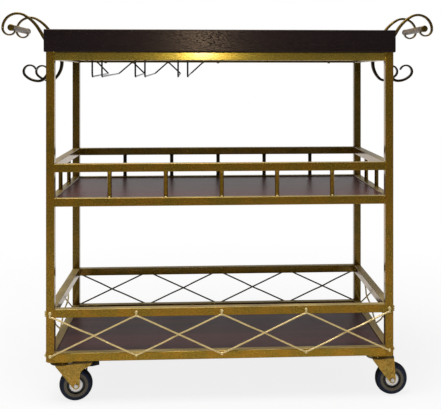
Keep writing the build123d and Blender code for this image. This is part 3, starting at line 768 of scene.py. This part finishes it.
# The front and side rods are painted pale (painted light), the rear ones near black
# (painted shade), and the studs pale (painted highlight).
front_rods.piece("gallery_rods_front", GOLD_RODS_LIT, "gold_paint", replaces=["lattice_long"])
rear_rods.piece("gallery_rods_rear", GOLD_DEEP_SHADE, "gold_paint", replaces=["lattice_long"])
side_rods.piece("gallery_rods_sides", GOLD_RODS_LIT, "gold_paint", replaces=["lattice_short"])
studs.piece("gallery_studs", GOLD_GLINT, "gold_paint", replaces=["lattice_studs"])


# The middle gallery's balusters, each with a weld collar at both ends
def baluster(x, y):
    """A rod whose radius swells towards both ends by an exponential of the distance."""
    low, high = MIDDLE_RAIL[1].z, MIDDLE_GUARD[0].z
    rise = np.array([0, 0.2, 0.4, 0.72, 1.2, 2, 4, 8, 16]) / 1000
    z = np.concatenate([low + rise, high - rise[::-1]])
    near = np.minimum(z - low, high - z)
    profile = np.stack([BALUSTER / 2 + COLLAR * np.exp(-near / COLLAR_SPREAD), z], axis=1)
    return spun(profile, (x, y, 0), UP, sides=24)


def even_places(count, clear, width):
    """Centres that leave equal gaps between bars and at both ends."""
    pitch = (clear - count * width) / (count + 1) + width
    return (np.arange(count) - (count - 1) / 2) * pitch


front_balusters, rear_balusters, side_balusters, foot_beads = (
    Surfaces() for _ in range(4))
for x in even_places(5, 2 * INNER_X, BALUSTER):
    for side, row in ((-1, front_balusters), (1, rear_balusters)):
        row.add(baluster(x, side * LEG_Y))
        foot = (x, side * (LEG_Y + BALUSTER / 2), MIDDLE_RAIL[1].z + FOOT_BEAD_LIFT)
        foot_beads.add(ball(foot, FOOT_BEAD, (1, 0.8, 0.7)))
for y in even_places(2, 2 * INNER_Y, BALUSTER):
    for side in (-1, 1):
        side_balusters.add(baluster(side * LEG_X, y))
# The rear balusters are painted near black and the side ones darker (painted shade); the
# foot beads are painted pale (painted glint).
front_balusters.piece("balusters_front", GOLD, "gold_paint", replaces=["balusters"])
rear_balusters.piece("balusters_rear", GOLD_DEEP_SHADE, "gold_paint", replaces=["balusters"])
side_balusters.piece("balusters_sides", GOLD_SHADED, "gold_paint", replaces=["balusters"])
foot_beads.piece("baluster_beads", GOLD_GLINT, "gold_paint")


# The scroll handles
def scroll_line(shares, sense):
    """Points out from the leg, heights, headings and lengths along a chain of arcs."""
    out, z, heading, length = SCROLL_SPACER + SCROLL_BELLY / 2, 0.0, 0.0, 0.0
    rows = [np.array([[out, z, heading, length]])]
    for share, turn in shares:
        size = share * SCROLL_REACH
        steps = max(4, int(turn / 5))
        part = np.linspace(0, 1, steps + 1)[1:]
        turned_by = math.radians(turn) * part
        if turn == 0:
            run = size * part
            new = np.stack([
                out + run * math.sin(heading), z + sense * run * math.cos(heading),
                np.full(steps, heading), length + run], axis=1)
        else:
            new = np.stack([
                out + size * (math.cos(heading) - np.cos(heading + turned_by)),
                z + sense * size * (np.sin(heading + turned_by) - math.sin(heading)),
                heading + turned_by, length + size * turned_by], axis=1)
        rows.append(new)
        out, z, heading, length = new[-1]
    return np.vstack(rows)


def scroll_bar(belly_z):
    """One scroll from its lower tip to its upper one: a flat bar with rounded corners,
    a superellipse section, that tapers from the belly to both tips."""
    grids = []
    across, over = superellipse(24, 0.42)
    for shares, sense in ((LOWER_SCROLL_SHARES, -1), (UPPER_SCROLL_SHARES, 1)):
        out, z, heading, length = scroll_line(shares, sense).T
        share = length / length[-1]
        half = (SCROLL_BELLY * (1 - share) + SCROLL_TIP * share) / 2
        tip = np.sqrt(np.clip((1 - share) / SCROLL_TIP_SHARE, 0.15, 1))
        centre = np.stack([out, 0 * out, z + belly_z], axis=1)
        normal = np.stack([np.cos(heading), 0 * heading, -sense * np.sin(heading)], axis=1)
        thick = (half * tip)[:, None, None] * across[None, :, None] * normal[:, None, :]
        wide = (SCROLL_WIDTH / 2 * (0.7 + 0.3 * tip))[:, None, None] * over[None, :, None]
        grid = centre[:, None, :] + thick + wide * ALONG_Y
        grids.append(grid[::-1] if sense < 0 else grid[1:])
    return np.vstack(grids)


BELLY_Z = TOP_RAIL[0].z + SCROLL_HEIGHT_ON_RAIL
GRIP_LOW, GRIP_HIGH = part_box("handle_grip_right")
GRIP_X = (GRIP_LOW.x + GRIP_HIGH.x) / 2
GRIP_Z = (GRIP_LOW.z + GRIP_HIGH.z) / 2


def spacer_block():
    """A weld block between the rail and the belly: a superellipse drawn out along X."""
    y, z = superellipse(24, 0.3)
    out = np.array([0, 0.0003, SCROLL_SPACER - 0.0003, SCROLL_SPACER + 0.0006])
    swell = np.array([1.10, 1.0, 1.0, 1.06])
    y = SCROLL_WIDTH / 2 * swell[:, None] * y
    z = SPACER_HEIGHT / 2 * swell[:, None] * z
    return np.stack([np.broadcast_to(out[:, None], y.shape), y, z + BELLY_Z], axis=-1)


def grip_bar():
    """The grip's tube: a straight revolution along Y."""
    profile = np.array([[GRIP_END_RADIUS, -GRIP_HALF], [GRIP_RADIUS, -GRIP_HALF],
                        [GRIP_RADIUS, 0], [GRIP_RADIUS, GRIP_HALF],
                        [GRIP_END_RADIUS, GRIP_HALF]])
    return spun(profile, (GRIP_X, 0, GRIP_Z), ALONG_Y, GRIP_SIDES)


def grip_end(side):
    """A domed cap: its radius falls as a quarter of a superellipse."""
    fall = np.linspace(0, math.pi / 2 * 0.96, 10)
    radius = GRIP_RADIUS + CAP_FLANGE
    dome = np.stack([radius * np.cos(fall) ** 0.45,
                     side * (GRIP_HALF + CAP_LENGTH * np.sin(fall))], axis=1)
    lip = np.array([[radius - CAP_LIP, side * (GRIP_HALF - CAP_OVERLAP)]])
    return spun(np.vstack([lip, dome]), (GRIP_X, 0, GRIP_Z), ALONG_Y, GRIP_SIDES)


caps = Surfaces()
for name, quarter_turns in (("right", 0), ("left", 2)):
    scrolls = Surfaces()
    for y in (-SCROLL_HALF_SPREAD, SCROLL_HALF_SPREAD):
        shift = np.array([HALF_WIDTH, y, 0.0])
        scrolls.add(turned(scroll_bar(BELLY_Z) + shift, quarter_turns))
        scrolls.add(turned(spacer_block() + shift, quarter_turns))
    scrolls.piece("scrolls_" + name, GOLD_SCROLLS_SHADED, "gold_paint",
                  replaces=["handle_scrolls_" + name])
    grip = Surfaces()
    grip.add(turned(grip_bar(), quarter_turns))
    grip.piece("grip_" + name, GOLD_GRIPS_REFLECTING, "gold_paint", replaces=["handle_grip_" + name])
    for side in (-1, 1):
        caps.add(turned(grip_end(side), quarter_turns))
caps.piece("grip_caps", GOLD_CAPS_SHADED, "gold_paint", replaces=["handle_caps"])


# The stemware rack
def rack_wire(centre, side):
    """One wire's path: down from the front rail, back along the slot and splayed up to
    the rear rail."""
    front_y = -LEG_Y - WIRE_FRONT_INSET
    top = TOP_RAIL[0].z
    rear_half = SLOT_PITCH / 2 - WIRE_RADIUS - WIRE_GAP
    corners = [
        (centre + side * WIRE_FRONT_HALF, front_y, top),
        (centre + side * WIRE_FRONT_HALF, front_y, top - WIRE_DROP),
        (centre + side * WIRE_REAR_HALF, LEG_Y - WIRE_REAR_RUN, top - WIRE_DROP
         + WIRE_REAR_RISE),
        (centre + side * rear_half, LEG_Y, top),
    ]
    return rounded_path(corners, WIRE_BEND)


rack = Surfaces()
for centre in SLOT_CENTRES:
    for side in (-1, 1):
        path = rack_wire(centre, side)
        rack.add(tube_along(path, WIRE_RADIUS, ALONG_X, sides=14))
        for end in (path[0], path[-1]):
            rack.add(ball(end - WIRE_WELD_DROP * UP, WIRE_WELD, (1, 1, 0.55)))
rack.piece("stemware_wires", GOLD_WIRES_SHADED, "gold_paint", replaces=["stemware_rack"])


# The casters
def wheel_axis(corner):
    """The wheel's centre and its axle, from the wheel's joint."""
    roll = JOINTS[corner + "_roll"]
    return np.array(roll["pos_m"], float), unit(np.array(roll["axis"], float))


def tyre_profile():
    """The tyre's section as radius and half width: a flat wall ring, a step, a rounded
    shoulder and a crown with two shallow grooves."""
    half = [(0.0196, 0.0108), (0.0200, 0.0114), (0.0262, 0.0122), (0.0272, 0.0118),
            (0.0280, 0.0121), (0.0315, 0.0124), (0.0340, 0.0114), (0.0358, 0.0092),
            (0.0367, 0.0068), (0.0370, 0.0052), (0.0362, 0.0047), (0.0362, 0.0041),
            (0.0373, 0.0036), (0.0379, 0.0015)]
    other = [(radius, -width) for radius, width in reversed(half)]
    return np.array(half + [(WHEEL_RADIUS, 0.0)] + other)


def hub_profile():
    """The hub's section: a boss, a shallow dished disc with a rounded rim, and the dark
    groove in front of the core."""
    half = [(0.00305, 0.0137), (0.0064, 0.0137), (0.0070, 0.0131), (0.0072, 0.0118),
            (0.0082, 0.0112), (0.0140, 0.0110), (0.0156, 0.0116), (0.0163, 0.0113),
            (0.0165, 0.0106), (0.0167, 0.0086), (0.0193, 0.0086), (0.0196, 0.0090)]
    other = [(radius, -width) for radius, width in reversed(half)]
    return np.array(half + other)


def wheel_surface(profile, centre, axle):
    """A wheel's revolution, closed from its last row to its first. Its pattern is how far
    round, and the radius as a share of the wheel's."""
    made = Surfaces()
    round_share = np.linspace(0, 1, WHEEL_SIDES, endpoint=False)
    radius = profile[:, 0] / WHEEL_RADIUS
    pattern = np.stack(np.broadcast_arrays(round_share[None, :], radius[:, None]), axis=-1)
    made.add(spun(profile, centre, axle, WHEEL_SIDES), close_rows=True, pattern=pattern)
    return made


def nut(centre, axle, side):
    """A hexagon nut with a washer face and chamfered corners: the radius at an angle is
    the flat's distance over the cosine of the angle from its middle, cut by a cone."""
    flat = NUT_WIDTH / 2
    turn = circle(NUT_SIDES)
    corner = flat / np.cos((turn + math.pi / 6) % (math.pi / 3) - math.pi / 6)
    rise = np.array([0, 0.0002, 0.12, 0.72, 0.9, 1.0]) * NUT_HEIGHT
    cone = flat * np.array([1.02, 1.20, 1.20, 1.20, 1.08, 0.98])
    radius = np.minimum(corner[None, :], cone[:, None])
    radius = np.vstack([radius, np.full((1, NUT_SIDES), 0.5 * flat)])
    rise = np.append(rise, NUT_HEIGHT)
    place = centre + side * axle * FORK_OUTER_HALF
    ring = spokes(UP, np.cross(axle, UP), NUT_SIDES)
    return (place + radius[:, :, None] * ring[None]
            + side * rise[:, None, None] * axle)


def axle_tip(centre, axle, side):
    """The bolt's rounded end past the nut."""
    fall = np.linspace(0, math.pi / 2 * 0.95, 6)
    profile = np.stack([AXLE_RADIUS * np.cos(fall) ** 0.5,
                        side * (FORK_OUTER_HALF + NUT_HEIGHT * (0.9 + 0.2 * np.sin(fall)))],
                       axis=1)
    return spun(profile, centre, axle, BOLT_SIDES)


def crown_ring(corner):
    """The fork's pressed crown round the ball race: a ring with a sloping outer wall, as
    a profile turned about the swivel."""
    axis = np.array(JOINTS[corner + "_swivel"]["pos_m"], float)
    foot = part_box(corner + "_fork")[1].z - CROWN_SINK
    rise = np.array([0, 0.0006, 0.0036, 0.0044, CROWN_HEIGHT, CROWN_HEIGHT, 0.0042, 0])
    inward = np.array([0, 0, 0.0012, 0.0018, 0.0030, 0.0052, CROWN_RADIUS - CROWN_BORE,
                       CROWN_RADIUS - CROWN_BORE])
    profile = np.stack([CROWN_RADIUS - inward, foot + rise], axis=1)
    return spun(profile, (axis[0], axis[1], 0), UP, WHEEL_SIDES)


def eased_copy(node, name, material, body, width):
    """A CAD node's shape with its edges rounded: its doubles are merged, its flat faces
    are joined and its sharp edges get a bevel."""
    mesh = frame["nodes"][node].data.copy()
    mesh.name = name
    shape = bmesh.new()
    shape.from_mesh(mesh)
    bmesh.ops.remove_doubles(shape, verts=shape.verts, dist=1e-6)
    bmesh.ops.dissolve_limit(shape, angle_limit=math.radians(1), verts=shape.verts,
                             edges=shape.edges)
    bmesh.ops.recalc_face_normals(shape, faces=shape.faces)
    shape.to_mesh(mesh)
    shape.free()
    piece = finished(name, mesh, material, body, [node])
    bevel = piece.modifiers.new("eased_edges", "BEVEL")
    bevel.width = width
    bevel.segments = 3
    bevel.limit_method = "ANGLE"
    bevel.angle_limit = math.radians(EASED_FROM)
    mesh.shade_smooth()
    mesh.set_sharp_from_angle(angle=math.radians(EASED_SHARP))


for corner in CORNERS:
    centre, axle = wheel_axis(corner)
    caster, wheel_set = corner + "_caster", corner + "_wheel_set"
    tyre = wheel_surface(tyre_profile(), centre, axle)
    tyre.piece(corner + "_tread", RUBBER, "tread_rubber", wheel_set,
               replaces=[corner + "_tyre"])
    hub = wheel_surface(hub_profile(), centre, axle)
    hub.piece(corner + "_hub", NYLON, "hub_plastic", wheel_set,
              replaces=[corner + "_wheel"])
    bolt = Surfaces()
    for side in (-1, 1):
        bolt.add(nut(centre, axle, side))
        bolt.add(axle_tip(centre, axle, side))
    shank = np.array([[SHANK_RADIUS, -FORK_OUTER_HALF], [SHANK_RADIUS, FORK_OUTER_HALF]])
    bolt.add(spun(shank, centre, axle, BOLT_SIDES))
    bolt.piece(corner + "_axle_bolt", NICKEL, "chrome", caster,
               replaces=[corner + "_axle"])
    eased_copy(corner + "_fork", corner + "_pressed_fork", GOLD_FORKS,
               caster, FORK_EDGE)
    crown = Surfaces()
    crown.add(crown_ring(corner), close_rows=True)
    # The crown takes the darker gold: painted shade under the plate.
    crown.piece(corner + "_crown", GOLD_SHADED, "gold_paint", caster)
    if corner in BRAKED:
        eased_copy(corner + "_brake_pedal", corner + "_pedal", PEDAL_PLASTIC,
                   corner + "_brake", PEDAL_EDGE)


# Weld beads where the rails meet the legs
def bead(middle, along, across, up, half):
    """A bead round a square tube's end: a rounded square path, a superellipse, with a
    small wave in its thickness."""
    first, second = (half * way[:, None] for way in superellipse(WELD_SIDES, 0.16))
    reach = first * across + second * up
    thick = WELD_RADIUS * (1 + WELD_RIPPLE * np.sin(circle(WELD_SIDES) * WELD_RIPPLES))
    return ((middle + reach)[:, None, :]
            + thick[:, None, None] * spokes(unit(reach)[:, None, :], along, 8))


welds = Surfaces()
for rail in (LOWER_RAIL, LOWER_GUARD, MIDDLE_RAIL, MIDDLE_GUARD, TOP_RAIL):
    z = (rail[0].z + rail[1].z) / 2
    half = TUBE / 2 - WELD_INSET
    for side_x in (-1, 1):
        for side_y in (-1, 1):
            middle = np.array([side_x * INNER_X, side_y * LEG_Y, z])
            welds.add(bead(middle, ALONG_X, ALONG_Y, UP, half), close_rows=True)
            middle = np.array([side_x * LEG_X, side_y * INNER_Y, z])
            welds.add(bead(middle, ALONG_Y, ALONG_X, UP, half), close_rows=True)
welds.piece("rail_welds", GOLD, "gold_paint")


# The stage
def grey(light):
    """A neutral colour in the shader's linear values."""
    return (light, light, light, 1.0)


def direct_rays(tree, path):
    """One for the camera's rays and those that pass through clear things, else nought."""
    return maths(tree, "MAXIMUM", path["Is Camera Ray"], path["Is Transmission Ray"])


def floor():
    """A wide pale floor, shaded near the object. Far from it the camera and clear things
    see plain white, and so do shiny ones behind the object."""
    material, tree, shader, place = new_material(
        "pale_floor", Base_Color=grey(FLOOR_TONE), Roughness=0.9, Specular_IOR_Level=0.1)
    away = add(tree, "ShaderNodeVectorMath", {0: place}, operation="LENGTH")
    far = remap(tree, away.outputs["Value"], *FLOOR_FADE, FLOOR_NEAR_WHITE, 1.0)
    behind = remap(tree, axes(tree, place)["Y"], *FLOOR_SHINE_DEPTHS)
    path = add(tree, "ShaderNodeLightPath").outputs
    shiny = maths(tree, "MULTIPLY", path["Is Glossy Ray"], behind)
    either = maths(tree, "MAXIMUM", direct_rays(tree, path), shiny)
    white = add(tree, "ShaderNodeEmission", {"Strength": 1.0})
    blend = add(tree, "ShaderNodeMixShader", {
        0: maths(tree, "MULTIPLY", far, either), 1: shader.outputs[0], 2: white.outputs[0]})
    tree.links.new(blend.outputs[0], tree.nodes["Material Output"].inputs["Surface"])
    mesh = bpy.data.meshes.new("floor")
    corners = [(FLOOR_HALF * x, FLOOR_HALF * y, 0)
               for x, y in ((-1, -1), (1, -1), (1, 1), (-1, 1))]
    mesh.from_pydata(corners, [], [(0, 1, 2, 3)])
    mesh.materials.append(material)
    made = bpy.data.objects.new("floor", mesh)
    bpy.context.scene.collection.objects.link(made)


def world():
    """A plain soft studio: a white sweep low behind the object and a greyer one low in
    front, a pale ceiling, and a dimmer room. The camera and clear things see white."""
    made = bpy.data.worlds.new("studio")
    bpy.context.scene.world = made
    made.use_nodes = True
    tree = made.node_tree
    way = axes(tree, add(tree, "ShaderNodeTexCoord").outputs["Generated"])
    room = remap(tree, way["Y"], *ROOM_DEPTHS, *ROOM_LIGHTS)
    tone = mix(tree, remap(tree, way["Z"], *CEILING_HEIGHTS), room, grey(CEILING))
    for y_from, y_to, z_from, z_to, light in SWEEPS:
        ahead = remap(tree, way["Y"], y_from, y_to)
        low = remap(tree, way["Z"], z_from, z_to)
        tone = mix(tree, maths(tree, "MULTIPLY", ahead, low), tone, grey(light))
    path = add(tree, "ShaderNodeLightPath").outputs
    tone = mix(tree, direct_rays(tree, path), tone, grey(1.0))
    tree.links.new(tone, tree.nodes["Background"].inputs["Color"])


def lamp(name, place, target, size, power):
    """A round lamp, turned to its target by the yaw and pitch of the way there."""
    light = bpy.data.lights.new(name, "AREA")
    light.shape = "DISK"
    light.size = size
    light.energy = power
    made = bpy.data.objects.new(name, light)
    bpy.context.scene.collection.objects.link(made)
    made.location = place
    way = np.array(target, float) - np.array(place, float)
    yaw = math.atan2(way[1], way[0]) - math.pi / 2
    pitch = math.atan2(way[2], math.hypot(way[0], way[1])) + math.pi / 2
    made.rotation_euler = (pitch, 0, yaw)


def camera():
    """The photograph's view: a level camera in front and a little to the left."""
    data = bpy.data.cameras.new("camera")
    data.sensor_fit = "HORIZONTAL"
    data.sensor_width = CAMERA_SENSOR
    data.lens = CAMERA_LENS
    data.shift_x, data.shift_y = CAMERA_SHIFT
    made = bpy.data.objects.new("camera", data)
    made.location = CAMERA_PLACE
    made.rotation_euler = (math.radians(90), 0, math.radians(CAMERA_YAW))
    bpy.context.scene.collection.objects.link(made)
    bpy.context.scene.camera = made


floor()
world()
for settings in LAMPS:
    lamp(*settings)
camera()
bpy.context.scene.view_settings.view_transform = "Standard"
